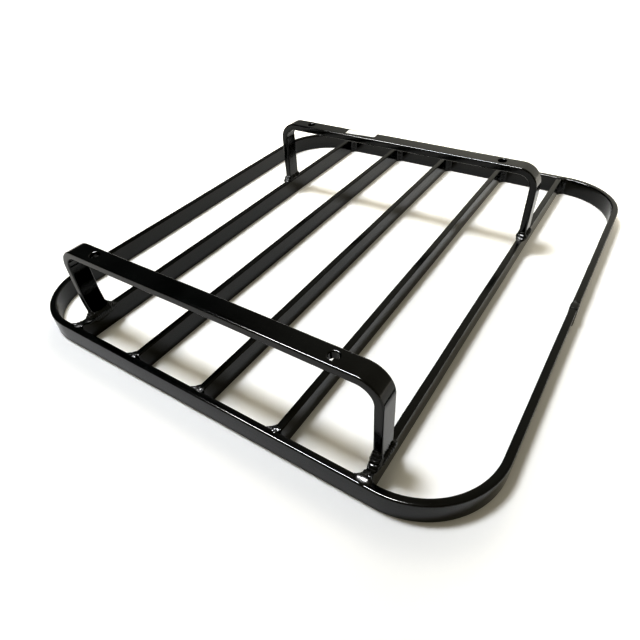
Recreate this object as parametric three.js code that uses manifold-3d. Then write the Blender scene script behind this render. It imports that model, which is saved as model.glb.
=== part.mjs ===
// Slatted steel lamp guard: a rounded hoop of flat bar stood on edge, five slats of the
// same bar welded across it, and two U-shaped mounting brackets welded on top of the
// outermost slats.  Millimetres, +Z up.  The guard lies flat on the floor: X runs across
// the slats, Y runs along them, and the origin is the middle of its underside.

import * as THREE from 'three';
import Module from 'manifold-3d';

const wasm = await Module();
wasm.setup();

// ---- driving dimensions -------------------------------------------------------------

const FRAME_WIDTH = 361;            // outside of the hoop, across the slats
const FRAME_LENGTH = 400;           // outside of the hoop, along the slats
const FRAME_CORNER_RADIUS = 54;     // outside of the bend in plan
const BAR_HEIGHT = 16;              // hoop and slat bar, standing on edge
const BAR_THICKNESS = 5;
const ARRIS_RADIUS = 0.8;           // rolled edge of all the bar, softened by the coating
const GAP = 0.3;                    // clearance left between bodies that touch

const SLAT_CENTRES = [-118.5, -58, 1.5, 61.5, 119.5];   // spaced by hand, so not quite even

const BRACKET_SPAN = 246;           // outside of one leg to outside of the other
const BRACKET_X = -0.5;             // middle of the span
const BRACKET_TOP = 75;             // top face of the plate above the floor
const BRACKET_BAR_WIDTH = 14;
const BRACKET_BAR_THICKNESS = 5.6;
const BRACKET_BEND_RADIUS = 16;     // outside of the bend
const BRACKETS = [
  { name: 'bracket_edge', y: -176 },
  { name: 'bracket_inboard', y: 76 },
];

const BOLT_HOLE_DIAMETER = 7;
const BOLT_HOLE_SPACING = 183;      // centred on the bracket

const SLAT_WELD_LEG = 5;            // fillet up the corner between slat end and hoop
const FOOT_WELD_LENGTH = 17;        // along the slat, a little past both edges of the leg
const FOOT_WELD_RISE = 3.5;         // reach up the leg and down the slat from the joint
const FOOT_WELD_BULGE = 3.6;        // pull of the curved face away from the joint
const BUTT_WELD_LENGTH = 6;         // closes the hoop half way along its right-hand side
const BUTT_WELD_PROUD = 0.6;        // crown above the bar faces
const SPATTER_RADIUS = 3.2;         // stray bead on top of the last slat's joint
const SPATTER_HEIGHT = 1.3;
const SPATTER_INSET = 3.3;          // its middle, in from the near face of the hoop
const SPATTER_SHIFT = 0.6;          // and to the left of the slat's own middle

const LABEL_LENGTH = 29;
const LABEL_WIDTH = 8.6;
const LABEL_THICKNESS = 0.2;
const LABEL_X = -37.7;              // middle of the blank label on the inboard bracket
const LABEL_SHIFT = 1.5;            // and its distance from the bracket's own middle line
const LABEL_SKEW = 4.3;             // degrees that it was stuck on crooked

const ARC_STEPS = 14;               // segments in each quarter bend
const ROUND_STEPS = 3;              // segments in each softened edge
const HOLE_STEPS = 28;

// ---- materials ----------------------------------------------------------------------

const COAT = { color: 0x101112, roughness: 0.32, metalness: 0.0 };
const PAPER = { color: 0xf2f1ec, roughness: 0.85, metalness: 0.0 };

function namedMesh(name, geometry, look) {
  const mesh = new THREE.Mesh(geometry, new THREE.MeshStandardMaterial(look));
  mesh.name = name;
  return mesh;
}

// ---- solid helpers ------------------------------------------------------------------

// Welds the duplicate corners of a geometry so that it reads as one closed surface.
function toManifold(geometry) {
  const position = geometry.getAttribute('position');
  const corners = new Map();
  const vertices = [];
  const triangles = [];
  for (let i = 0; i < position.count; i += 1) {
    const point = [position.getX(i), position.getY(i), position.getZ(i)];
    const key = point.map((value) => value.toFixed(4)).join(' ');
    if (!corners.has(key)) {
      corners.set(key, corners.size);
      vertices.push(...point);
    }
    triangles.push(corners.get(key));
  }
  return new wasm.Manifold(new wasm.Mesh({
    numProp: 3,
    vertProperties: new Float32Array(vertices),
    triVerts: new Uint32Array(triangles),
  }));
}

function toGeometry(solid) {
  const mesh = solid.getMesh();
  const geometry = new THREE.BufferGeometry();
  geometry.setAttribute('position', new THREE.BufferAttribute(mesh.vertProperties, 3));
  geometry.setIndex(new THREE.BufferAttribute(mesh.triVerts, 1));
  geometry.computeVertexNormals();
  return geometry;
}

// Extrudes an outline by a total height with its two rims softened.
function softExtrude(shape, height, rim, curveSegments) {
  const geometry = new THREE.ExtrudeGeometry(shape, {
    depth: height - 2 * rim,
    bevelEnabled: true,
    bevelThickness: rim,
    bevelSize: rim,
    bevelOffset: -rim,
    bevelSegments: ROUND_STEPS,
    curveSegments,
  });
  geometry.translate(0, 0, rim);
  return geometry;
}

// Turns a shape drawn in X and Z and extruded towards -Y so that it is centred on Y = 0.
function standUpright(geometry, length) {
  geometry.rotateX(Math.PI / 2);
  geometry.translate(0, length / 2, 0);
  return geometry;
}

// ---- hoop ---------------------------------------------------------------------------

// A rounded ring cut open in the middle of its right side, where the bar's ends meet.
function hoopOutline() {
  const shape = new THREE.Shape();
  const halfGap = BUTT_WELD_LENGTH / 2 + GAP;
  const traceRing = (inset, clockwise) => {
    const halfX = FRAME_WIDTH / 2 - inset;
    const halfY = FRAME_LENGTH / 2 - inset;
    const radius = FRAME_CORNER_RADIUS - inset;
    const centreX = halfX - radius;
    const centreY = halfY - radius;
    const corners = [[1, 1, 0], [-1, 1, 0.5], [-1, -1, 1], [1, -1, 1.5]];
    if (clockwise) {
      corners.reverse();
    }
    for (const [signX, signY, quarter] of corners) {
      const first = (clockwise ? quarter + 0.5 : quarter) * Math.PI;
      const last = (clockwise ? quarter : quarter + 0.5) * Math.PI;
      shape.absarc(signX * centreX, signY * centreY, radius, first, last, clockwise);
    }
  };
  traceRing(0, false);
  shape.lineTo(FRAME_WIDTH / 2, -halfGap);
  shape.lineTo(FRAME_WIDTH / 2 - BAR_THICKNESS, -halfGap);
  traceRing(BAR_THICKNESS, true);
  shape.lineTo(FRAME_WIDTH / 2 - BAR_THICKNESS, halfGap);
  shape.lineTo(FRAME_WIDTH / 2, halfGap);
  shape.closePath();
  return shape;
}

function makeHoop() {
  const geometry = softExtrude(hoopOutline(), BAR_HEIGHT, ARRIS_RADIUS, ARC_STEPS);
  return namedMesh('hoop', geometry, COAT);
}

// The crowned bead that joins the two ends of the hoop bar.
function makeButtWeld() {
  const halfThickness = BAR_THICKNESS / 2;
  const halfLength = BUTT_WELD_LENGTH / 2;
  const crown = halfThickness + 2 * BUTT_WELD_PROUD;    // control point of the crown
  const shape = new THREE.Shape();
  shape.moveTo(halfThickness, -halfLength);
  shape.quadraticCurveTo(crown, 0, halfThickness, halfLength);
  shape.lineTo(-halfThickness, halfLength);
  shape.quadraticCurveTo(-crown, 0, -halfThickness, -halfLength);
  const height = BAR_HEIGHT + BUTT_WELD_PROUD;
  const mesh = namedMesh('hoop_butt_weld', softExtrude(shape, height, ARRIS_RADIUS, 8), COAT);
  mesh.position.x = FRAME_WIDTH / 2 - halfThickness;
  return mesh;
}

// ---- slats --------------------------------------------------------------------------

function roundedSection(width, height, radius) {
  const x = width / 2 - radius;
  const y = height / 2 - radius;
  const shape = new THREE.Shape();
  shape.absarc(x, y, radius, 0, 0.5 * Math.PI, false);
  shape.absarc(-x, y, radius, 0.5 * Math.PI, Math.PI, false);
  shape.absarc(-x, -y, radius, Math.PI, 1.5 * Math.PI, false);
  shape.absarc(x, -y, radius, 1.5 * Math.PI, 2 * Math.PI, false);
  return shape;
}

function makeSlat(index) {
  const length = FRAME_LENGTH - 2 * BAR_THICKNESS - 2 * GAP;
  const section = roundedSection(BAR_THICKNESS, BAR_HEIGHT, ARRIS_RADIUS);
  const geometry = new THREE.ExtrudeGeometry(section, {
    depth: length,
    bevelEnabled: false,
    curveSegments: ROUND_STEPS,
  });
  standUpright(geometry, length);
  const mesh = namedMesh(`slat_${index + 1}`, geometry, COAT);
  mesh.position.set(SLAT_CENTRES[index], 0, BAR_HEIGHT / 2);
  return mesh;
}

// Vertical fillet in the corner between a slat's end and the hoop.  Each slat is welded
// on its left at the near end and on its right at the far end.
function makeSlatWeld(index, end) {
  const shape = new THREE.Shape();
  shape.moveTo(0, 0);
  shape.lineTo(-SLAT_WELD_LEG, 0);
  shape.quadraticCurveTo(-SLAT_WELD_LEG / 3, SLAT_WELD_LEG / 3, 0, SLAT_WELD_LEG);
  shape.closePath();
  const geometry = softExtrude(shape, BAR_HEIGHT - 2 * GAP, GAP, 8);
  const isNear = end === 'near';
  const mesh = namedMesh(`slat_${index + 1}_weld_${end}`, geometry, COAT);
  const side = isNear ? -1 : 1;
  const reachX = BAR_THICKNESS / 2 + GAP;
  const reachY = FRAME_LENGTH / 2 - BAR_THICKNESS - GAP;
  mesh.position.set(SLAT_CENTRES[index] + side * reachX, side * reachY, GAP);
  mesh.rotation.z = isNear ? 0 : Math.PI;
  return mesh;
}

// ---- brackets -----------------------------------------------------------------------

// One bar bent to an upside-down U, drawn in X and Z with its feet on the slats.
function bracketOutline() {
  const footZ = BAR_HEIGHT + GAP;
  const outerX = BRACKET_SPAN / 2;
  const innerX = outerX - BRACKET_BAR_THICKNESS;
  const innerRadius = BRACKET_BEND_RADIUS - BRACKET_BAR_THICKNESS;
  const bendX = outerX - BRACKET_BEND_RADIUS;
  const bendZ = BRACKET_TOP - BRACKET_BEND_RADIUS;
  const shape = new THREE.Shape();
  shape.absarc(bendX, bendZ, BRACKET_BEND_RADIUS, 0, 0.5 * Math.PI, false);
  shape.absarc(-bendX, bendZ, BRACKET_BEND_RADIUS, 0.5 * Math.PI, Math.PI, false);
  shape.lineTo(-outerX, footZ);
  shape.lineTo(-innerX, footZ);
  shape.absarc(-bendX, bendZ, innerRadius, Math.PI, 0.5 * Math.PI, true);
  shape.absarc(bendX, bendZ, innerRadius, 0.5 * Math.PI, 0, true);
  shape.lineTo(innerX, footZ);
  shape.lineTo(outerX, footZ);
  shape.closePath();
  return shape;
}

function boltHole(x) {
  const depth = 3 * BRACKET_BAR_THICKNESS;
  const radius = BOLT_HOLE_DIAMETER / 2;
  const cutter = new THREE.CylinderGeometry(radius, radius, depth, HOLE_STEPS).toNonIndexed();
  cutter.rotateX(Math.PI / 2);
  cutter.translate(x, 0, BRACKET_TOP);
  return toManifold(cutter);
}

function makeBracket({ name, y }) {
  const bar = softExtrude(bracketOutline(), BRACKET_BAR_WIDTH, ARRIS_RADIUS, ARC_STEPS);
  standUpright(bar, BRACKET_BAR_WIDTH);
  let solid = toManifold(bar);
  for (const side of [-1, 1]) {
    solid = solid.subtract(boltHole(side * BOLT_HOLE_SPACING / 2));
  }
  const mesh = namedMesh(name, toGeometry(solid), COAT);
  mesh.position.set(BRACKET_X, y, 0);
  return mesh;
}

// Bead along one face of a leg's foot.  `facing` is the direction in X that the leg face
// and the slat face below it look in; the bead bridges the small step between the two.
function makeFootWeld(name, legFaceX, slatFaceX, facing, y) {
  const legX = legFaceX + facing * GAP;
  const slatX = slatFaceX + facing * GAP;
  const legOverhangs = facing * (legX - slatX) > 0;
  const stepZ = legOverhangs ? BAR_HEIGHT : BAR_HEIGHT + GAP;
  const shape = new THREE.Shape();
  shape.moveTo(legX, stepZ + FOOT_WELD_RISE);
  shape.lineTo(legX, stepZ);
  shape.lineTo(slatX, stepZ);
  shape.lineTo(slatX, stepZ - FOOT_WELD_RISE);
  const outermost = legOverhangs ? legX : slatX;
  shape.quadraticCurveTo(
    outermost + facing * FOOT_WELD_BULGE, stepZ,
    legX, stepZ + FOOT_WELD_RISE,
  );
  const geometry = new THREE.ExtrudeGeometry(shape, {
    depth: FOOT_WELD_LENGTH,
    bevelEnabled: false,
    curveSegments: 8,
  });
  standUpright(geometry, FOOT_WELD_LENGTH);
  const mesh = namedMesh(name, geometry, COAT);
  mesh.position.y = y;
  return mesh;
}

function makeFootWelds({ name, y }) {
  const lastSlat = SLAT_CENTRES.length - 1;
  const halfBar = BAR_THICKNESS / 2;
  const welds = [];
  for (const [foot, side, slatX] of [
    ['left', -1, SLAT_CENTRES[0]],
    ['right', 1, SLAT_CENTRES[lastSlat]],
  ]) {
    const outerLegX = BRACKET_X + side * BRACKET_SPAN / 2;
    const innerLegX = outerLegX - side * BRACKET_BAR_THICKNESS;
    const label = `${name}_weld_${foot}`;
    welds.push(makeFootWeld(`${label}_outer`, outerLegX, slatX + side * halfBar, side, y));
    welds.push(makeFootWeld(`${label}_inner`, innerLegX, slatX - side * halfBar, -side, y));
  }
  return welds;
}

// ---- small pieces -------------------------------------------------------------------

// The bead of weld left on top of the near joint of the last slat.
function makeSpatter() {
  const profile = [new THREE.Vector2(0, 0)];
  for (let i = 0; i <= 6; i += 1) {
    const angle = (i / 6) * 0.5 * Math.PI;
    profile.push(new THREE.Vector2(
      SPATTER_RADIUS * Math.cos(angle),
      SPATTER_HEIGHT * Math.sin(angle),
    ));
  }
  const geometry = new THREE.LatheGeometry(profile, 20);
  geometry.rotateX(Math.PI / 2);
  const mesh = namedMesh('slat_5_top_bead', geometry, COAT);
  const lastSlat = SLAT_CENTRES.length - 1;
  mesh.position.set(
    SLAT_CENTRES[lastSlat] - SPATTER_SHIFT,
    -FRAME_LENGTH / 2 + SPATTER_INSET,
    BAR_HEIGHT + GAP,
  );
  return mesh;
}

function makeLabel() {
  const shape = roundedSection(LABEL_LENGTH, LABEL_WIDTH, 0.6);
  const geometry = new THREE.ExtrudeGeometry(shape, {
    depth: LABEL_THICKNESS,
    bevelEnabled: false,
    curveSegments: ROUND_STEPS,
  });
  const mesh = namedMesh('label', geometry, PAPER);
  const inboard = BRACKETS[1];
  mesh.position.set(LABEL_X, inboard.y + LABEL_SHIFT, BRACKET_TOP + GAP);
  mesh.rotation.z = THREE.MathUtils.degToRad(LABEL_SKEW);
  return mesh;
}

// ---- assembly -----------------------------------------------------------------------

function makeGuard() {
  const guard = new THREE.Group();
  guard.name = 'lamp_guard';
  guard.position.x = -BUTT_WELD_PROUD / 2;    // keeps the overall box centred on X = 0
  guard.add(makeHoop(), makeButtWeld());
  SLAT_CENTRES.forEach((_, index) => {
    guard.add(makeSlat(index), makeSlatWeld(index, 'near'), makeSlatWeld(index, 'far'));
  });
  for (const bracket of BRACKETS) {
    guard.add(makeBracket(bracket), ...makeFootWelds(bracket));
  }
  guard.add(makeSpatter(), makeLabel());
  return guard;
}

export default makeGuard();
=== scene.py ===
"""Slatted steel lamp guard: fine surfaces, welds, coat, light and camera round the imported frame.

Everything is in metres, in the frame's own axes: X across the slats, Y along them, Z up.
Near is -Y, far is +Y, left is -X and right is +X.
"""

import math

import bmesh
import bpy
from mathutils import Matrix, Vector, noise


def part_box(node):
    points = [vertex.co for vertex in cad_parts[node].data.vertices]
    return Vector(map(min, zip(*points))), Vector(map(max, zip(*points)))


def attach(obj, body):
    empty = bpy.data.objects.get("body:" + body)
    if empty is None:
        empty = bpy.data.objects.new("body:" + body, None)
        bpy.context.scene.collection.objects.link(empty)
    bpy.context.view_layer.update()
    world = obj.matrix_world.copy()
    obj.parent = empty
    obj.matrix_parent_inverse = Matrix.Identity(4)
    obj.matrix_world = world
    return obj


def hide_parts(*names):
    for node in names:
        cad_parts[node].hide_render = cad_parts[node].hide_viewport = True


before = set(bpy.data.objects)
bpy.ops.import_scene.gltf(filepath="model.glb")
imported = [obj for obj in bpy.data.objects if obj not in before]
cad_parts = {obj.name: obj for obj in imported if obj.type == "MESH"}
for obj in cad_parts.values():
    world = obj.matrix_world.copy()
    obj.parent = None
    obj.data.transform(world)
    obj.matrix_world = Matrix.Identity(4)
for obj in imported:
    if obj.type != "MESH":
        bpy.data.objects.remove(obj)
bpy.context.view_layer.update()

NOISE_SEED = 6
noise.seed_set(NOISE_SEED)      # unseeded, noise_vector differs from one run to the next

MM = 0.001
X = Vector((1, 0, 0))
Y = Vector((0, 1, 0))
Z = Vector((0, 0, 1))

# ---- sizes of the bars, taken from the frame where it has them ------------------------

SLAT_COUNT = 5
HOOP_LOW, HOOP_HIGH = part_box("hoop")
SLAT_BOXES = [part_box(f"slat_{number}") for number in range(1, SLAT_COUNT + 1)]
SLAT_X = [(low.x + high.x) / 2 for low, high in SLAT_BOXES]
BAR_THICKNESS = SLAT_BOXES[0][1].x - SLAT_BOXES[0][0].x
BAR_HEIGHT = HOOP_HIGH.z
INNER_END_Y = HOOP_HIGH.y - BAR_THICKNESS       # inside face of the hoop's two ends

HOOP_CORNER_RADIUS = 54 * MM                    # of the hoop's outer face
TIGHT_CORNER = 3.5 * MM                         # how much tighter the near left corner is bent
ARRIS_RADIUS = 1.1 * MM
ARRIS_STEPS = 4
STATION_PITCH = 3 * MM                          # spacing of the cross-sections of a bar
ARC_STEPS = 24
SINK = 0.4 * MM                                 # how far welded bars run into each other

BRACKET_THICKNESS = 5.6 * MM
BRACKET_BEND_RADIUS = 16 * MM                   # of the bracket's outer face
BOLT_HOLE_RADIUS = 3.2 * MM                     # 3.5 mm drilled, less the coat on its wall
BOLT_HOLE_SPACING = 183 * MM
BOLT_HOLE_MARGIN = 1.5 * MM                     # no cross-section lies nearer to a hole
BOLT_RIM = 0.8 * MM                             # rounding that the thick coat leaves

# The near left leg was pulled inwards when it was welded, over the last stretch of its height.
FOOT_CURL = 4.2 * MM
FOOT_CURL_HEIGHT = 22 * MM

# The frame's unevenness. Waves are noise cells per metre.
COARSE_ERROR = 0.35 * MM
COARSE_WAVES = 9.0
FINE_ERROR = 0.05 * MM
FINE_WAVES = 38.0
FINE_NOISE_SHIFT = Vector((7.1, 3.3, 1.7))
LEVEL_HEIGHT = 40 * MM                          # below it, heights have less and less error

# ---- mesh helpers -------------------------------------------------------------------


def hand_made(point):
    """The small, smooth error of a hand-welded frame at a point, the same for every piece.

    It never moves a point down, and the underside stays level.
    """
    coarse = noise.noise_vector(point * COARSE_WAVES)
    fine = noise.noise_vector(point * FINE_WAVES + FINE_NOISE_SHIFT)
    error = coarse * COARSE_ERROR + fine * FINE_ERROR
    error.z = abs(error.z) * min(1.0, point.z / LEVEL_HEIGHT)
    return error


def foot_shift(point):
    """How far along X the curl of the near left leg moves a point of a bracket."""
    if point.x > 0 or point.y > 0:
        return 0.0
    share = 1 - (point.z - BAR_HEIGHT) / FOOT_CURL_HEIGHT
    share = max(0.0, min(1.0, share))
    return FOOT_CURL * share * share


def object_from(bm, name):
    """Moves the mesh out of a bmesh into a new object of the scene."""
    mesh = bpy.data.meshes.new(name)
    bm.to_mesh(mesh)
    bm.clear()
    made = bpy.data.objects.new(name, mesh)
    bpy.context.scene.collection.objects.link(made)
    return made


def new_piece(name, bm, node, material):
    """Turns a bmesh into a smooth-shaded piece that stands for a CAD node."""
    for vertex in bm.verts:
        vertex.co += hand_made(vertex.co)
    bmesh.ops.recalc_face_normals(bm, faces=bm.faces)
    for face in bm.faces:
        face.smooth = True
    piece = object_from(bm, name)
    piece.data.materials.append(material)
    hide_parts(node)
    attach(piece, "root")
    return piece


def add_face_normals(piece):
    """Keeps the flats flat and puts all the shading change into the narrow arrises."""
    modifier = piece.modifiers.new("face_normals", "WEIGHTED_NORMAL")
    modifier.weight = 100
    modifier.keep_sharp = True


def rounded_section(half_a, half_b, radius, steps=ARRIS_STEPS):
    """Points (a, b) round a rectangle with rounded corners, anticlockwise."""
    points = []
    for sign_a, sign_b, start in ((1, 1, 0), (-1, 1, 90), (-1, -1, 180), (1, -1, 270)):
        for step in range(steps + 1):
            angle = math.radians(start + 90 * step / steps)
            points.append((
                sign_a * (half_a - radius) + radius * math.cos(angle),
                sign_b * (half_b - radius) + radius * math.sin(angle),
            ))
    return points


def skin(bm, rings):
    """Joins rings of vertices into a closed tube with flat ends."""
    for ring, following in zip(rings, rings[1:]):
        for index in range(len(ring)):
            after = (index + 1) % len(ring)
            bm.faces.new((ring[index], ring[after], following[after], following[index]))
    bm.faces.new(rings[0])
    bm.faces.new(rings[-1])


def sweep(bm, stations, section):
    """Skins a section along stations of (point, a axis, b axis) and caps both ends."""
    skin(bm, [
        [bm.verts.new(point + axis_a * a + axis_b * b) for a, b in section]
        for point, axis_a, axis_b in stations
    ])


def straight(start, end, axis_a, axis_b, skip=()):
    """Stations along a straight line, ends included, but none inside a skipped span.

    Each skipped span is (from, to), measured from the start.
    """
    length = (end - start).length
    count = max(2, math.ceil(length / STATION_PITCH))
    distances = [length * index / count for index in range(count + 1)]
    kept = [d for d in distances if not any(low < d < high for low, high in skip)]
    for span in skip:
        kept.extend(span)
    direction = (end - start).normalized()
    return [(start + direction * d, axis_a, axis_b) for d in sorted(kept)]


def arc(centre, radius, first, last, across, up, axis_b):
    """Stations round an arc from angle first to angle last, in degrees.

    across and up span the arc's plane, and the section's a axis points outwards.
    """
    stations = []
    for step in range(ARC_STEPS + 1):
        angle = math.radians(first + (last - first) * step / ARC_STEPS)
        outward = across * math.cos(angle) + up * math.sin(angle)
        stations.append((centre + outward * radius, outward, axis_b))
    return stations


# ---- materials: noise scales are cells per metre ----------------------------------------


def new_material(name):
    """A new material, with its nodes, its links and its shader."""
    material = bpy.data.materials.new(name)
    material.use_nodes = True
    nodes = material.node_tree.nodes
    return material, nodes, material.node_tree.links, nodes["Principled BSDF"]


def add_noise(nodes, links, coordinates, scale, detail, rough):
    texture = nodes.new("ShaderNodeTexNoise")
    texture.inputs["Scale"].default_value = scale
    texture.inputs["Detail"].default_value = detail
    texture.inputs["Roughness"].default_value = rough
    links.new(coordinates, texture.inputs["Vector"])
    return texture.outputs["Fac"]


def add_range(nodes, links, value, from_low, from_high, to_low, to_high):
    """Maps one range of a value to another. What lies outside the range is clamped."""
    mapping = nodes.new("ShaderNodeMapRange")
    mapping.inputs["From Min"].default_value = from_low
    mapping.inputs["From Max"].default_value = from_high
    mapping.inputs["To Min"].default_value = to_low
    mapping.inputs["To Max"].default_value = to_high
    links.new(value, mapping.inputs["Value"])
    return mapping.outputs["Result"]


def add_bump(nodes, links, height, distance, normal=None):
    """Bump of a depth in metres, on top of an earlier bump's normal if one is given."""
    bump = nodes.new("ShaderNodeBump")
    bump.inputs["Distance"].default_value = distance
    bump.inputs["Strength"].default_value = 1.0
    links.new(height, bump.inputs["Height"])
    if normal is not None:
        links.new(normal, bump.inputs["Normal"])
    return bump.outputs["Normal"]


def add_color_mix(nodes, links, factor, first, second):
    mix = nodes.new("ShaderNodeMix")
    mix.data_type = "RGBA"
    mix.inputs["A"].default_value = (*first, 1.0)
    mix.inputs["B"].default_value = (*second, 1.0)
    links.new(factor, mix.inputs["Factor"])
    return mix.outputs["Result"]


COAT_DARK = (0.0022, 0.0026, 0.0026)
COAT_LIGHT = (0.0048, 0.0055, 0.0054)
DUST_COLOR = (0.16, 0.155, 0.145, 1.0)
COAT_IOR = 1.54
PEEL_DEPTH = 0.030 * MM
GRAIN_DEPTH = 0.004 * MM

PAPER_CLEAN = (0.82, 0.82, 0.80)
PAPER_TONED = (0.70, 0.69, 0.66)
FIBRE_DEPTH = 0.02 * MM

FLOOR_DULL = (0.86, 0.855, 0.84)
FLOOR_BRIGHT = (0.88, 0.875, 0.86)
FLOOR_GLOW = (1.0, 0.96, 0.87, 1.0)
GLOW_CENTRE = (0.0, HOOP_LOW.y, 0.0)
GLOW_START = 0.18                               # metres from the centre where it is weakest
GLOW_END = 1.4                                  # and where it is strongest
GLOW_WEAKEST = 0.03
GLOW_STRONGEST = 1.5


def make_powder_coat(name, roughness, peel):
    """Gloss black powder coat: orange peel, faint clouding and a few specks of dust.

    peel is how deep the orange peel is, beside that of a bar.
    """
    material, nodes, links, shader = new_material(name)
    coordinates = nodes.new("ShaderNodeTexCoord").outputs["Object"]

    clouds = add_noise(nodes, links, coordinates, scale=45, detail=4.0, rough=0.6)
    clouding = add_range(nodes, links, clouds, 0.35, 0.65, 0, 1)
    color = add_color_mix(nodes, links, clouding, COAT_DARK, COAT_LIGHT)
    specks = add_noise(nodes, links, coordinates, scale=1700, detail=1.0, rough=0.5)
    dust = nodes.new("ShaderNodeMix")
    dust.data_type = "RGBA"
    dust.inputs["B"].default_value = DUST_COLOR
    links.new(add_range(nodes, links, specks, 0.78, 0.84, 0, 0.5), dust.inputs["Factor"])
    links.new(color, dust.inputs["A"])
    links.new(dust.outputs["Result"], shader.inputs["Base Color"])

    handling = add_noise(nodes, links, coordinates, scale=26, detail=5.0, rough=0.65)
    links.new(
        add_range(nodes, links, handling, 0.3, 0.7, roughness * 0.8, roughness * 1.25),
        shader.inputs["Roughness"],
    )
    waves = add_noise(nodes, links, coordinates, scale=420, detail=2.0, rough=0.45)
    grain = add_noise(nodes, links, coordinates, scale=1500, detail=2.0, rough=0.5)
    normal = add_bump(nodes, links, waves, PEEL_DEPTH * peel)
    normal = add_bump(nodes, links, grain, GRAIN_DEPTH * peel, normal=normal)
    links.new(normal, shader.inputs["Normal"])
    shader.inputs["IOR"].default_value = COAT_IOR
    shader.inputs["Metallic"].default_value = 0.0
    return material


def make_paper():
    """Matt white label stock with faint fibres and a little toning."""
    material, nodes, links, shader = new_material("label_stock")
    coordinates = nodes.new("ShaderNodeTexCoord").outputs["Object"]
    toning = add_noise(nodes, links, coordinates, scale=130, detail=4.0, rough=0.6)
    toned = add_range(nodes, links, toning, 0.35, 0.7, 0, 1)
    color = add_color_mix(nodes, links, toned, PAPER_CLEAN, PAPER_TONED)
    links.new(color, shader.inputs["Base Color"])
    fibres = add_noise(nodes, links, coordinates, scale=2600, detail=3.0, rough=0.6)
    roughness = add_range(nodes, links, fibres, 0.3, 0.7, 0.55, 0.75)
    links.new(roughness, shader.inputs["Roughness"])
    links.new(add_bump(nodes, links, fibres, FIBRE_DEPTH), shader.inputs["Normal"])
    return material


def make_floor_finish():
    """Matt white table top that glows more and more away from the object.

    The glow keeps it white where the key light grows weak, and leaves the shadows dark.
    """
    material, nodes, links, shader = new_material("white_floor")
    coordinates = nodes.new("ShaderNodeTexCoord").outputs["Object"]
    mottle = add_noise(nodes, links, coordinates, scale=3.5, detail=3.0, rough=0.5)
    mottling = add_range(nodes, links, mottle, 0.3, 0.7, 0, 1)
    color = add_color_mix(nodes, links, mottling, FLOOR_DULL, FLOOR_BRIGHT)
    links.new(color, shader.inputs["Base Color"])
    shader.inputs["Roughness"].default_value = 0.9
    shader.inputs["Specular IOR Level"].default_value = 0.1
    distance = nodes.new("ShaderNodeVectorMath")
    distance.operation = "DISTANCE"
    distance.inputs[1].default_value = GLOW_CENTRE
    links.new(coordinates, distance.inputs[0])
    glow = add_range(
        nodes, links, distance.outputs["Value"],
        GLOW_START, GLOW_END, GLOW_WEAKEST, GLOW_STRONGEST,
    )
    links.new(glow, shader.inputs["Emission Strength"])
    shader.inputs["Emission Color"].default_value = FLOOR_GLOW
    return material


COAT = make_powder_coat("gloss_coat_on_bar", roughness=0.13, peel=1.0)
WELD_COAT = make_powder_coat("gloss_coat_on_weld", roughness=0.26, peel=1.3)
PAPER = make_paper()

# ---- hoop ---------------------------------------------------------------------------


def make_hoop():
    """One bar on edge, bent at four corners, from one side of the closing weld to the other."""
    half_thickness = BAR_THICKNESS / 2
    radius = HOOP_CORNER_RADIUS - half_thickness
    tight = radius - TIGHT_CORNER
    left = HOOP_LOW.x + half_thickness
    right = HOOP_HIGH.x - half_thickness
    near = HOOP_LOW.y + half_thickness
    far = HOOP_HIGH.y - half_thickness
    middle_z = BAR_HEIGHT / 2
    weld_low, weld_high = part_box("hoop_butt_weld")

    def at(x, y):
        return Vector((x, y, middle_z))

    stations = straight(at(right, weld_high.y - SINK), at(right, far - radius), X, Z)
    stations += arc(at(right - radius, far - radius), radius, 0, 90, X, Y, Z)[1:]
    stations += straight(at(right - radius, far), at(left + radius, far), Y, Z)[1:]
    stations += arc(at(left + radius, far - radius), radius, 90, 180, X, Y, Z)[1:]
    stations += straight(at(left, far - radius), at(left, near + tight), -X, Z)[1:]
    stations += arc(at(left + tight, near + tight), tight, 180, 270, X, Y, Z)[1:]
    stations += straight(at(left + tight, near), at(right - radius, near), -Y, Z)[1:]
    stations += arc(at(right - radius, near + radius), radius, 270, 360, X, Y, Z)[1:]
    stations += straight(at(right, near + radius), at(right, weld_low.y + SINK), X, Z)[1:]
    bm = bmesh.new()
    sweep(bm, stations, rounded_section(half_thickness, BAR_HEIGHT / 2, ARRIS_RADIUS))
    add_face_normals(new_piece("hoop_bar", bm, "hoop", COAT))


# ---- slats --------------------------------------------------------------------------


def make_slat(number):
    """A straight bar on edge, from one end of the hoop to the other."""
    x = SLAT_X[number - 1]
    reach = INNER_END_Y + SINK
    start = Vector((x, -reach, BAR_HEIGHT / 2))
    end = Vector((x, reach, BAR_HEIGHT / 2))
    bm = bmesh.new()
    section = rounded_section(BAR_THICKNESS / 2, BAR_HEIGHT / 2, ARRIS_RADIUS)
    sweep(bm, straight(start, end, X, Z), section)
    add_face_normals(new_piece(f"slat_{number}_bar", bm, f"slat_{number}", COAT))


# ---- brackets -----------------------------------------------------------------------

DRILL_LENGTH = 30 * MM
DRILL_SIDES = 48
TOUCHING = 0.01 * MM                            # closer than this counts as the same place


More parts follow.
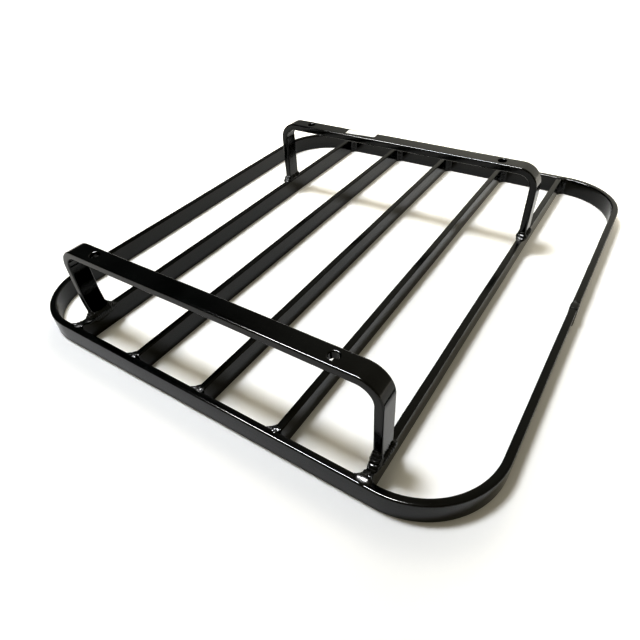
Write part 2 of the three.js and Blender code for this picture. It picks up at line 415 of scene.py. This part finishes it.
def drill(bm, centres, radius, z):
    """Cuts round holes down through a bar with its faces at about height z."""
    bar = object_from(bm, "bar")
    cutters = []
    for x, y in centres:
        cutter_bm = bmesh.new()
        bmesh.ops.create_cone(
            cutter_bm, cap_ends=True, segments=DRILL_SIDES, radius1=radius, radius2=radius,
            depth=DRILL_LENGTH, matrix=Matrix.Translation((x, y, z)),
        )
        cutter = object_from(cutter_bm, "drill")
        modifier = bar.modifiers.new("drill", "BOOLEAN")
        modifier.object = cutter
        modifier.operation = "DIFFERENCE"
        modifier.solver = "EXACT"
        cutters.append(cutter)
    graph = bpy.context.evaluated_depsgraph_get()
    drilled = bar.evaluated_get(graph).to_mesh()
    bm.from_mesh(drilled)
    for scrap in [bar, *cutters]:
        bpy.data.objects.remove(scrap)


def soften_rims(bm, centres, radius):
    """Rounds both edges of each drilled hole."""
    def on_wall(vertex):
        return any(
            abs(math.hypot(vertex.co.x - x, vertex.co.y - y) - radius) < TOUCHING
            for x, y in centres
        )

    rims = [
        edge for edge in bm.edges
        if all(on_wall(vertex) for vertex in edge.verts)
        and abs(edge.verts[0].co.z - edge.verts[1].co.z) < TOUCHING
    ]
    bmesh.ops.bevel(
        bm, geom=rims, offset=BOLT_RIM, segments=4, profile=0.5, affect="EDGES",
    )


def make_bracket(node):
    """A bar bent to an upside-down U, with a bolt hole near each end of its flat top."""
    low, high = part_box(node)
    half_thickness = BRACKET_THICKNESS / 2
    half_width = (high.y - low.y) / 2
    radius = BRACKET_BEND_RADIUS - half_thickness
    left = low.x + half_thickness
    right = high.x - half_thickness
    top = high.z - half_thickness
    foot = BAR_HEIGHT - SINK
    y = (low.y + high.y) / 2
    middle_x = (low.x + high.x) / 2
    holes = [(middle_x + side * BOLT_HOLE_SPACING / 2, y) for side in (-1, 1)]

    def at(x, z):
        return Vector((x, y, z))

    clear = BOLT_HOLE_RADIUS + BOLT_HOLE_MARGIN
    skip = [(x - clear - (left + radius), x + clear - (left + radius)) for x, _ in holes]
    stations = straight(at(left, foot), at(left, top - radius), -X, Y)
    stations += arc(at(left + radius, top - radius), radius, 180, 90, X, Z, Y)[1:]
    stations += straight(at(left + radius, top), at(right - radius, top), Z, Y, skip)[1:]
    stations += arc(at(right - radius, top - radius), radius, 90, 0, X, Z, Y)[1:]
    stations += straight(at(right, top - radius), at(right, foot), X, Y)[1:]
    bm = bmesh.new()
    sweep(bm, stations, rounded_section(half_thickness, half_width, ARRIS_RADIUS))
    for vertex in bm.verts:
        vertex.co.x += foot_shift(vertex.co)
    bmesh.ops.recalc_face_normals(bm, faces=bm.faces)
    drill(bm, holes, BOLT_HOLE_RADIUS, top)
    soften_rims(bm, holes, BOLT_HOLE_RADIUS)
    add_face_normals(new_piece(f"{node}_bar", bm, node, COAT))


# ---- welds: how a bead, a fillet and a puddle are shaped --------------------------------

RIPPLE_PITCH = 1.7 * MM                         # from one ripple of a weld to the next

BEAD_SIDES = 28
BEAD_STEP = 0.22 * MM
BEAD_RIPPLE = 0.16                              # depth of a ripple, as a share of the bead
BEAD_RIPPLE_LAG = 0.9 * MM                      # how far a ripple trails at the bead's edges
BEAD_LUMP = 0.4 * MM
PATH_SPLITS = 40                                # points on each leg of a bead's path
PATH_ROUNDINGS = 60                             # passes that round the path's turns

END_LUMP_PITCH = 2.7 * MM
END_LUMP = 0.36 * MM
END_ROUGHNESS = 0.32 * MM

CORNER_RIPPLE = 0.13 * MM
CORNER_RIPPLE_LAG = 2.2 * MM
CORNER_ROUGHNESS = 0.30 * MM
CORNER_HOLLOW = 0.34                            # 0.5 would be a straight slope


def noise_offset(seed, *steps):
    """Where in the noise a weld is taken from, so that no two welds are alike."""
    return Vector([seed * step for step in steps])


def lumpiness(point, offset, coarse, fine, fine_share):
    """Noise in two sizes of lump, coarse and fine, in cells per metre."""
    rough = noise.noise(point * coarse + offset)
    return rough + fine_share * noise.noise(point * fine + offset)


def resample(corners, step):
    """Points at an even step along a line through corners, with its turns rounded."""
    dense = [corners[0]]
    for before, after in zip(corners, corners[1:]):
        dense += [before.lerp(after, part / PATH_SPLITS) for part in range(1, PATH_SPLITS + 1)]
    for _ in range(PATH_ROUNDINGS):
        inner = [
            (before + here * 2 + after) / 4
            for before, here, after in zip(dense, dense[1:], dense[2:])
        ]
        dense = [dense[0], *inner, dense[-1]]
    points = [dense[0]]
    travelled = 0.0
    for before, after in zip(dense, dense[1:]):
        travelled += (after - before).length
        if travelled >= step:
            points.append(after)
            travelled = 0.0
    return points


def add_bead(bm, corners, half_out, half_up, facing, seed):
    """A rippled bead of weld along a line through corners, round an upright bar.

    facing is 1 or -1: the side of the line, seen from above, that the bead bulges to.
    """
    path = resample(corners, BEAD_STEP)
    offset = noise_offset(seed, 3.7, 1.3, 5.9)
    total = sum((after - before).length for before, after in zip(path, path[1:]))
    rings = []
    distance = 0.0
    out = None
    for before, here, after in zip(path, path[1:], path[2:]):
        distance += (here - before).length
        tangent = (after - before).normalized()
        flat = Vector((tangent.y, -tangent.x, 0)) * facing
        if flat.length > 0.5:
            out = flat.normalized() if out is None else (out * 3 + flat.normalized())
        elif out is None:
            out = X * facing
        out = (out - tangent * out.dot(tangent)).normalized()
        up = tangent.cross(out)
        closeness = min(1.0, min(distance, total - distance) / (1.15 * half_out))
        fullness = math.sqrt(max(0.02, closeness * (2 - closeness)))
        ring = []
        for side in range(BEAD_SIDES):
            angle = 2 * math.pi * side / BEAD_SIDES
            lag = BEAD_RIPPLE_LAG * (1 - math.cos(angle))
            wave = 0.5 - 0.5 * math.cos(2 * math.pi * (distance + lag) / RIPPLE_PITCH)
            scale = fullness * (1 - BEAD_RIPPLE * (1 - wave) ** 2)
            spread = out * math.cos(angle) + up * math.sin(angle)
            point = here + out * (half_out * scale * math.cos(angle))
            point += up * (half_up * scale * math.sin(angle))
            rough = lumpiness(point, offset, coarse=380, fine=1000, fine_share=0.4)
            ring.append(bm.verts.new(point + spread * (BEAD_LUMP * rough * fullness)))
        rings.append(ring)
    skin(bm, rings)


def add_puddle(bm, centre, half_sizes, seed, lump, tilt=0.0):
    """A low mound of melted metal, about half of it sunk into the bar under it.

    lump is its unevenness as a share of its size. tilt, in degrees, leans its top to -Y.
    """
    made = bmesh.ops.create_icosphere(bm, subdivisions=4, radius=1.0)
    offset = noise_offset(seed, 2.3, 4.1, 1.9)
    lean = Matrix.Rotation(math.radians(tilt), 3, "X")
    for vertex in made["verts"]:
        direction = vertex.co.copy()
        stretch = 1 + lump * noise.noise(direction * 1.7 + offset)
        stretch += 0.35 * lump * noise.noise(direction * 5 + offset)
        shape = Vector([direction[axis] * half_sizes[axis] * stretch for axis in range(3)])
        vertex.co = centre + lean @ shape


def add_end_fillet(bm, leg_x, face_y, side, height, reach, seed):
    """A lumpy slope of weld from a leg's end face down to the top of its slat.

    side is -1 at the leg's near face and 1 at its far face.
    """
    offset = noise_offset(seed, 2.9, 4.7, 1.1)
    columns, rows = 40, 56
    sunk = 0.9 * MM
    edge_lag = 0.9 * MM
    half_width = BRACKET_THICKNESS / 2 + 0.9 * MM
    rings = []
    for column in range(columns + 1):
        across = -1 + 2 * column / columns
        fullness = math.sqrt(max(0.12, 1 - across ** 4))
        x = leg_x + across * half_width
        ring = []
        for row in range(rows + 1):
            t = row / rows
            bend = 0.8 * (1 - t) * t                # 1 would be a straight slope
            outward = reach * fullness * (t * t + bend)
            upward = height * fullness * ((1 - t) ** 2 + bend)
            travelled = t * (height + reach) * 0.75 + edge_lag * across * across
            wave = abs(math.sin(math.pi * travelled / END_LUMP_PITCH))
            point = Vector((x, outward, upward))
            rough = lumpiness(point, offset, coarse=420, fine=1100, fine_share=0.5)
            middle = min(1.0, 8 * t * (1 - t))
            push = (END_LUMP * (wave - 0.6) + END_ROUGHNESS * rough) * middle
            ring.append((outward + 0.7 * push, upward + 0.7 * push))
        ring += [
            (reach * fullness, -sunk), (-sunk, -sunk), (-sunk, height * fullness),
        ]
        rings.append([
            bm.verts.new((x, face_y + side * outward, BAR_HEIGHT + upward))
            for outward, upward in ring
        ])
    skin(bm, rings)


def add_corner_fillet(bm, corner, along_hoop, along_slat, leg, seed):
    """A concave rippled fillet up a corner between a slat and the inside of the hoop.

    along_hoop and along_slat are 1 or -1: which way it spreads from the corner, in X and Y.
    """
    offset = noise_offset(seed, 3.1, 5.3, 1.7)
    rows, columns = 64, 14
    sunk = 0.4 * MM
    lowest = 0.3 * MM
    length = BAR_HEIGHT - 0.5 * MM
    taper = 1.6 * MM
    rings = []
    for row in range(rows + 1):
        z = lowest + length * row / rows
        from_end = min(z, BAR_HEIGHT - z) / taper
        size = leg * (0.72 + 0.28 * math.sqrt(min(1.0, max(0.0, from_end))))
        ring = []
        for column in range(columns + 1):
            t = column / columns
            bend = 2 * (1 - t) * t * CORNER_HOLLOW
            u = size * ((1 - t) ** 2 + bend)
            v = size * (t ** 2 + bend)
            lag = CORNER_RIPPLE_LAG * (t - 0.5) ** 2 * 4
            wave = math.cos(2 * math.pi * (z - lag) / RIPPLE_PITCH)
            rough = noise.noise(Vector((u, v, z)) * 450 + offset)
            middle = 4 * t * (1 - t)
            push = (CORNER_RIPPLE * wave + CORNER_ROUGHNESS * rough) * middle
            ring.append((u + push * 0.7, v + push * 0.7, z))
        ring += [(-sunk, size, z), (-sunk, -sunk, z), (size, -sunk, z)]
        rings.append([
            bm.verts.new(corner + Vector((along_hoop * u, along_slat * v, height)))
            for u, v, height in ring
        ])
    skin(bm, rings)


# ---- welds: where they are ------------------------------------------------------------

# How high each end of a foot is welded up the leg and how far along the slat, in mm:
# ((near height, near reach), (far height, far reach)).
END_FILLETS = {
    ("bracket_edge", "left"): ((6.5, 6.5), (7.0, 7.0)),
    ("bracket_edge", "right"): ((9.5, 7.5), (3.2, 3.5)),
    ("bracket_inboard", "left"): ((4.0, 5.0), (3.0, 3.5)),
    ("bracket_inboard", "right"): ((6.0, 4.5), (3.2, 3.0)),
}
END_FILLET_SEED = 40                            # added to the seed of the foot's bead

FOOT_BEAD_HALF_OUT = 2.3 * MM
FOOT_BEAD_HALF_UP = 3.0 * MM
TALL_BEAD_HALF_UP = 4.0 * MM                    # on the inner side of the left feet
LAST_LUMP_HALF_SIZES = (1.9 * MM, 2.4 * MM, 2.3 * MM)   # on the outer bead of the right feet

CORNER_LEG = 5.0 * MM
SECOND_CORNER_LEG = 3.4 * MM
SECOND_CORNER_SEED = 60                         # added to the seed of the slat's weld

TOP_MOUND_HALF_SIZES = (5.4 * MM, 3.5 * MM, 1.55 * MM)
TOP_MOUND_SEED = 3


def make_foot_weld(node, bracket, seed):
    """Half of the weld round a bracket's foot: the bead along one wide face, and one end.

    The inner half has the near end, and the outer half has the far end.
    """
    bracket_low, bracket_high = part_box(bracket)
    y = (bracket_low.y + bracket_high.y) / 2
    half_width = (bracket_high.y - bracket_low.y) / 2
    half_thickness = BRACKET_THICKNESS / 2
    foot, face = node.split("_")[-2:]
    is_left_foot = foot == "left"
    is_outer = face == "outer"
    facing = -1 if is_left_foot == is_outer else 1
    if is_left_foot:
        leg_x = bracket_low.x + half_thickness
    else:
        leg_x = bracket_high.x - half_thickness
    leg_x += foot_shift(Vector((leg_x, y, BAR_HEIGHT)))
    face_x = leg_x + facing * (half_thickness - 0.5 * MM)
    round_x = leg_x - facing * 0.5 * MM             # where the bead stops on an end face
    joint_z = BAR_HEIGHT + 0.2 * MM
    end_z = BAR_HEIGHT + 0.9 * MM
    near = [
        Vector((round_x, y - half_width - 0.3 * MM, end_z)),
        Vector((face_x, y - half_width + 0.2 * MM, end_z)),
    ]
    far = [
        Vector((face_x, y + half_width - 0.2 * MM, end_z)),
        Vector((round_x, y + half_width + 0.3 * MM, end_z)),
    ]
    side = [Vector((face_x, y + share * half_width, joint_z)) for share in (-0.6, 0.6)]
    bm = bmesh.new()
    half_up = TALL_BEAD_HALF_UP if is_left_foot and not is_outer else FOOT_BEAD_HALF_UP
    add_bead(bm, near + side + far, FOOT_BEAD_HALF_OUT, half_up, facing, seed)
    if is_outer and not is_left_foot:
        last = Vector((face_x + 0.3 * MM, y + half_width + 0.4 * MM, BAR_HEIGHT + 0.4 * MM))
        add_puddle(bm, last, LAST_LUMP_HALF_SIZES, seed, lump=0.15)
    end = 1 if is_outer else -1
    height, reach = END_FILLETS[bracket, foot][is_outer]
    add_end_fillet(
        bm, leg_x, y + end * half_width, end, height * MM, reach * MM, seed + END_FILLET_SEED,
    )
    new_piece(node.replace("_weld_", "_bead_"), bm, node, WELD_COAT)


def make_slat_weld(number, end, seed):
    """The weld at a slat's end: a fillet up one corner, and the melted patch on top of it.

    The near end of the last slat has a second, smaller fillet up its other corner.
    """
    node = f"slat_{number}_weld_{end}"
    side = -1 if end == "near" else 1
    x = SLAT_X[number - 1]
    half_thickness = BAR_THICKNESS / 2
    bm = bmesh.new()
    corner = Vector((x + side * half_thickness, side * INNER_END_Y, 0))
    add_corner_fillet(bm, corner, side, -side, CORNER_LEG, seed)
    if number == SLAT_COUNT and end == "near":
        other_corner = Vector((x - side * half_thickness, side * INNER_END_Y, 0))
        second_seed = seed + SECOND_CORNER_SEED
        add_corner_fillet(bm, other_corner, -side, -side, SECOND_CORNER_LEG, second_seed)
    is_by_foot = number in (1, SLAT_COUNT) and end == "near"
    half_length = 3.6 * MM if is_by_foot else 2.6 * MM
    half_height = 0.45 * MM if is_by_foot else 0.75 * MM
    patch_y = side * (INNER_END_Y - half_length + 1.8 * MM)
    centre = Vector((x + side * 0.6 * MM, patch_y, BAR_HEIGHT - 0.25 * MM))
    add_puddle(bm, centre, (2.5 * MM, half_length, half_height), seed, lump=0.60)
    new_piece(f"slat_{number}_bead_{end}", bm, node, WELD_COAT)


def make_butt_weld():
    """The crowned, rippled band of weld right round the bar, which closes the hoop."""
    low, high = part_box("hoop_butt_weld")
    middle_x = HOOP_HIGH.x - BAR_THICKNESS / 2
    middle_y = (low.y + high.y) / 2
    middle_z = BAR_HEIGHT / 2
    half_length = (high.y - low.y) / 2 + 0.6 * MM
    half_thickness = BAR_THICKNESS / 2 + 0.25 * MM
    half_height = BAR_HEIGHT / 2 + 0.1 * MM
    section = rounded_section(half_thickness, half_height, radius=1.2 * MM, steps=6)
    count = 36
    bm = bmesh.new()
    rings = []
    for step in range(count + 1):
        share = -1 + 2 * step / count
        swell = 0.45 * MM * math.sqrt(max(0.0, 1 - share * share))
        lag = 0.8 * MM * share * share
        edge = 1 - abs(share) ** 4
        ring = []
        for a, b in section:
            direction = Vector((a, 0, b)).normalized()
            point = Vector((middle_x + a, middle_y + share * half_length, middle_z + b))
            ripple = 0.10 * MM * math.cos(2 * math.pi * (b + lag) / RIPPLE_PITCH)
            rough = 0.16 * MM * noise.noise(point * 500)
            point += direction * (swell + (ripple + rough) * edge)
            point.z = max(point.z, 0.0)
            ring.append(bm.verts.new(point))
        rings.append(ring)
    skin(bm, rings)
    new_piece("hoop_butt_bead", bm, "hoop_butt_weld", WELD_COAT)


def make_top_bead():
    """The smooth mound of weld where the last slat meets the hoop, sloping to the hoop's edge."""
    centre = Vector((
        SLAT_X[-1] - 0.6 * MM, HOOP_LOW.y + 3.4 * MM, BAR_HEIGHT - 0.35 * MM,
    ))
    bm = bmesh.new()
    add_puddle(bm, centre, TOP_MOUND_HALF_SIZES, TOP_MOUND_SEED, lump=0.08, tilt=17)
    new_piece("slat_5_top_mound", bm, "slat_5_top_bead", WELD_COAT)


# ---- label --------------------------------------------------------------------------

LABEL_LENGTH = 29 * MM
LABEL_WIDTH = 8.6 * MM
LABEL_SKEW = 4.3                                # degrees
LABEL_UNDERSIDE = 0.03 * MM                     # above the bracket's top
LABEL_TOP = 0.14 * MM                           # above the bracket's top
LABEL_END_LIFT = 0.10 * MM                      # of its two short ends
LABEL_WRINKLE = 0.05 * MM


def make_label():
    """A blank sticker across the inboard bracket, a little skewed, its ends just lifting."""
    low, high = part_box("label")
    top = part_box("bracket_inboard")[1].z
    centre_x = (low.x + high.x) / 2
    centre_y = (low.y + high.y) / 2
    half_x = LABEL_LENGTH / 2
    half_y = LABEL_WIDTH / 2
    skew = math.radians(LABEL_SKEW)
    columns, rows = 60, 24
    bm = bmesh.new()
    layers = []
    for height in (LABEL_UNDERSIDE, LABEL_TOP):
        grid = []
        for row in range(rows + 1):
            v = -1 + 2 * row / rows
            line = []
            for column in range(columns + 1):
                u = -1 + 2 * column / columns
                lift = LABEL_END_LIFT * max(0.0, abs(u) - 0.9) / 0.1
                lift += LABEL_WRINKLE * max(0.0, noise.noise(Vector((u * 3, v * 2, 0.5))))
                x = u * half_x
                y = v * half_y
                line.append(bm.verts.new((
                    centre_x + x * math.cos(skew) - y * math.sin(skew),
                    centre_y + x * math.sin(skew) + y * math.cos(skew),
                    top + height + lift,
                )))
            grid.append(line)
        layers.append(grid)
    lower, upper = layers
    for row in range(rows):
        for column in range(columns):
            for grid, flip in ((lower, True), (upper, False)):
                corners = [
                    grid[row][column], grid[row][column + 1],
                    grid[row + 1][column + 1], grid[row + 1][column],
                ]
                bm.faces.new(corners[::-1] if flip else corners)
    border = [(0, column) for column in range(columns)]
    border += [(row, columns) for row in range(rows)]
    border += [(rows, column) for column in range(columns, 0, -1)]
    border += [(row, 0) for row in range(rows, 0, -1)]
    for here, there in zip(border, border[1:] + border[:1]):
        bm.faces.new((
            lower[here[0]][here[1]], lower[there[0]][there[1]],
            upper[there[0]][there[1]], upper[here[0]][here[1]],
        ))
    piece = new_piece("blank_label", bm, "label", PAPER)
    add_face_normals(piece)


# ---- the object ---------------------------------------------------------------------

make_hoop()
make_butt_weld()
seed = 0
for number in range(1, SLAT_COUNT + 1):
    make_slat(number)
    for end in ("near", "far"):
        seed += 1
        make_slat_weld(number, end, seed)
for bracket in ("bracket_edge", "bracket_inboard"):
    make_bracket(bracket)
    for foot in ("left", "right"):
        for face in ("outer", "inner"):
            seed += 1
            make_foot_weld(f"{bracket}_weld_{foot}_{face}", bracket, seed)
make_top_bead()
make_label()

# ---- floor, light and camera --------------------------------------------------------

FLOOR_HALF = 8.0
FLOOR_Z = -0.1 * MM

# A panel nearly overhead casts the shadows. A wider one in the same place shows only in
# the gloss, and a warm one beyond the object on the left shows only outside the gloss.
# Powers are in watts.
KEY_POSITION = (-0.354, -0.176, 1.41)
KEY_SIZE = (0.32, 0.25)
KEY_POWER = 18.6
KEY_COLOR = (0.88, 0.92, 1.0)
GLINT_SIZE = (0.85, 0.35)
GLINT_POWER = 80.0
GLINT_COLOR = (1.0, 1.0, 1.0)
FILL_POSITION = (-0.50, 0.90, 0.65)
FILL_SIZE = (1.0, 0.8)
FILL_POWER = 9.0
FILL_COLOR = (1.0, 0.93, 0.78)

# What surrounds the object, by direction from it: the room changes with the direction's X,
# and the wall has stops of (Y, brightness).
ROOM_DARK = (0.11, 0.11, 0.105)
ROOM_LIGHT = (0.40, 0.37, 0.29)
ROOM_DARK_X = -0.60
ROOM_LIGHT_X = -0.28
WALL_STOPS = ((0.00, 0.00), (0.50, 0.00), (0.57, 0.16), (0.78, 0.34), (0.92, 0.88))
WALL_BLUE = 0.95                                # its blue, as a share of its red and green

CAMERA_POSITION = Vector((0.1886, -0.3214, 0.2506))
CAMERA_RIGHT = Vector((0.83572, 0.54662, -0.05264))
CAMERA_UP = Vector((-0.32594, 0.57088, 0.75356))
CAMERA_LENS = 28.482                            # mm, as is the sensor
CAMERA_SENSOR = 36.0

VIEW_GAMMA = 0.72                               # the strong contrast of a small camera
BLACK_LEVEL = 0.010


def make_floor():
    """A table top just below the object, wide enough to fill the view."""
    bm = bmesh.new()
    corners = ((-1, -1), (1, -1), (1, 1), (-1, 1))
    bm.faces.new([bm.verts.new((x * FLOOR_HALF, y * FLOOR_HALF, FLOOR_Z)) for x, y in corners])
    floor = object_from(bm, "floor")
    floor.data.materials.append(make_floor_finish())


def set_axes(item, position, right, up, back):
    """Places a light or the camera, which looks away from its back."""
    axes = Matrix((right, up, back)).transposed().to_4x4()
    item.matrix_world = Matrix.Translation(position) @ axes
    bpy.context.scene.collection.objects.link(item)


def add_area_light(name, position, width, depth, power, color):
    """A rectangular panel that faces the origin, with its width along X."""
    data = bpy.data.lights.new(name, "AREA")
    data.shape = "RECTANGLE"
    data.size = width
    data.size_y = depth
    data.energy = power
    data.color = color
    light = bpy.data.objects.new(name, data)
    back = Vector(position).normalized()
    right = (X - back * X.dot(back)).normalized()
    set_axes(light, position, right, back.cross(right), back)
    return light


def make_world():
    """A room, dark to the left and dimly lit elsewhere, with a pale wall on the far side."""
    world = bpy.data.worlds.new("room")
    bpy.context.scene.world = world
    world.use_nodes = True
    nodes = world.node_tree.nodes
    links = world.node_tree.links
    coordinates = nodes.new("ShaderNodeTexCoord").outputs["Generated"]
    split = nodes.new("ShaderNodeSeparateXYZ")
    links.new(coordinates, split.inputs["Vector"])
    side = add_range(nodes, links, split.outputs["X"], ROOM_DARK_X, ROOM_LIGHT_X, 0.0, 1.0)
    room = add_color_mix(nodes, links, side, ROOM_DARK, ROOM_LIGHT)
    wall = nodes.new("ShaderNodeValToRGB")
    links.new(split.outputs["Y"], wall.inputs["Fac"])
    elements = wall.color_ramp.elements
    while len(elements) < len(WALL_STOPS):
        elements.new(0.5)
    for element, (position, level) in zip(elements, WALL_STOPS):
        element.position = position
        element.color = (level, level, level * WALL_BLUE, 1.0)
    total = nodes.new("ShaderNodeMix")
    total.data_type = "RGBA"
    total.blend_type = "ADD"
    total.inputs["Factor"].default_value = 1.0
    links.new(room, total.inputs["A"])
    links.new(wall.outputs["Color"], total.inputs["B"])
    links.new(total.outputs["Result"], nodes["Background"].inputs["Color"])


def make_camera():
    """The camera stands outside the near right corner and looks down across the slats."""
    data = bpy.data.cameras.new("camera")
    data.sensor_width = CAMERA_SENSOR
    data.lens = CAMERA_LENS
    data.clip_start = 0.01
    data.clip_end = 100.0
    camera = bpy.data.objects.new("camera", data)
    back = CAMERA_RIGHT.cross(CAMERA_UP).normalized()
    set_axes(camera, CAMERA_POSITION, CAMERA_RIGHT, CAMERA_UP, back)
    bpy.context.scene.camera = camera


def set_view():
    """Plain colours with the photo's contrast and its slightly crushed blacks."""
    settings = bpy.context.scene.view_settings
    settings.view_transform = "Standard"
    settings.look = "None"
    settings.gamma = VIEW_GAMMA
    settings.use_curve_mapping = True
    settings.curve_mapping.black_level = (BLACK_LEVEL, BLACK_LEVEL, BLACK_LEVEL)
    settings.curve_mapping.update()


make_floor()
make_world()
add_area_light("key", KEY_POSITION, *KEY_SIZE, KEY_POWER, KEY_COLOR)
glint = add_area_light("glint", KEY_POSITION, *GLINT_SIZE, GLINT_POWER, GLINT_COLOR)
glint.visible_diffuse = False
fill = add_area_light("fill", FILL_POSITION, *FILL_SIZE, FILL_POWER, FILL_COLOR)
fill.visible_glossy = False
make_camera()
set_view()
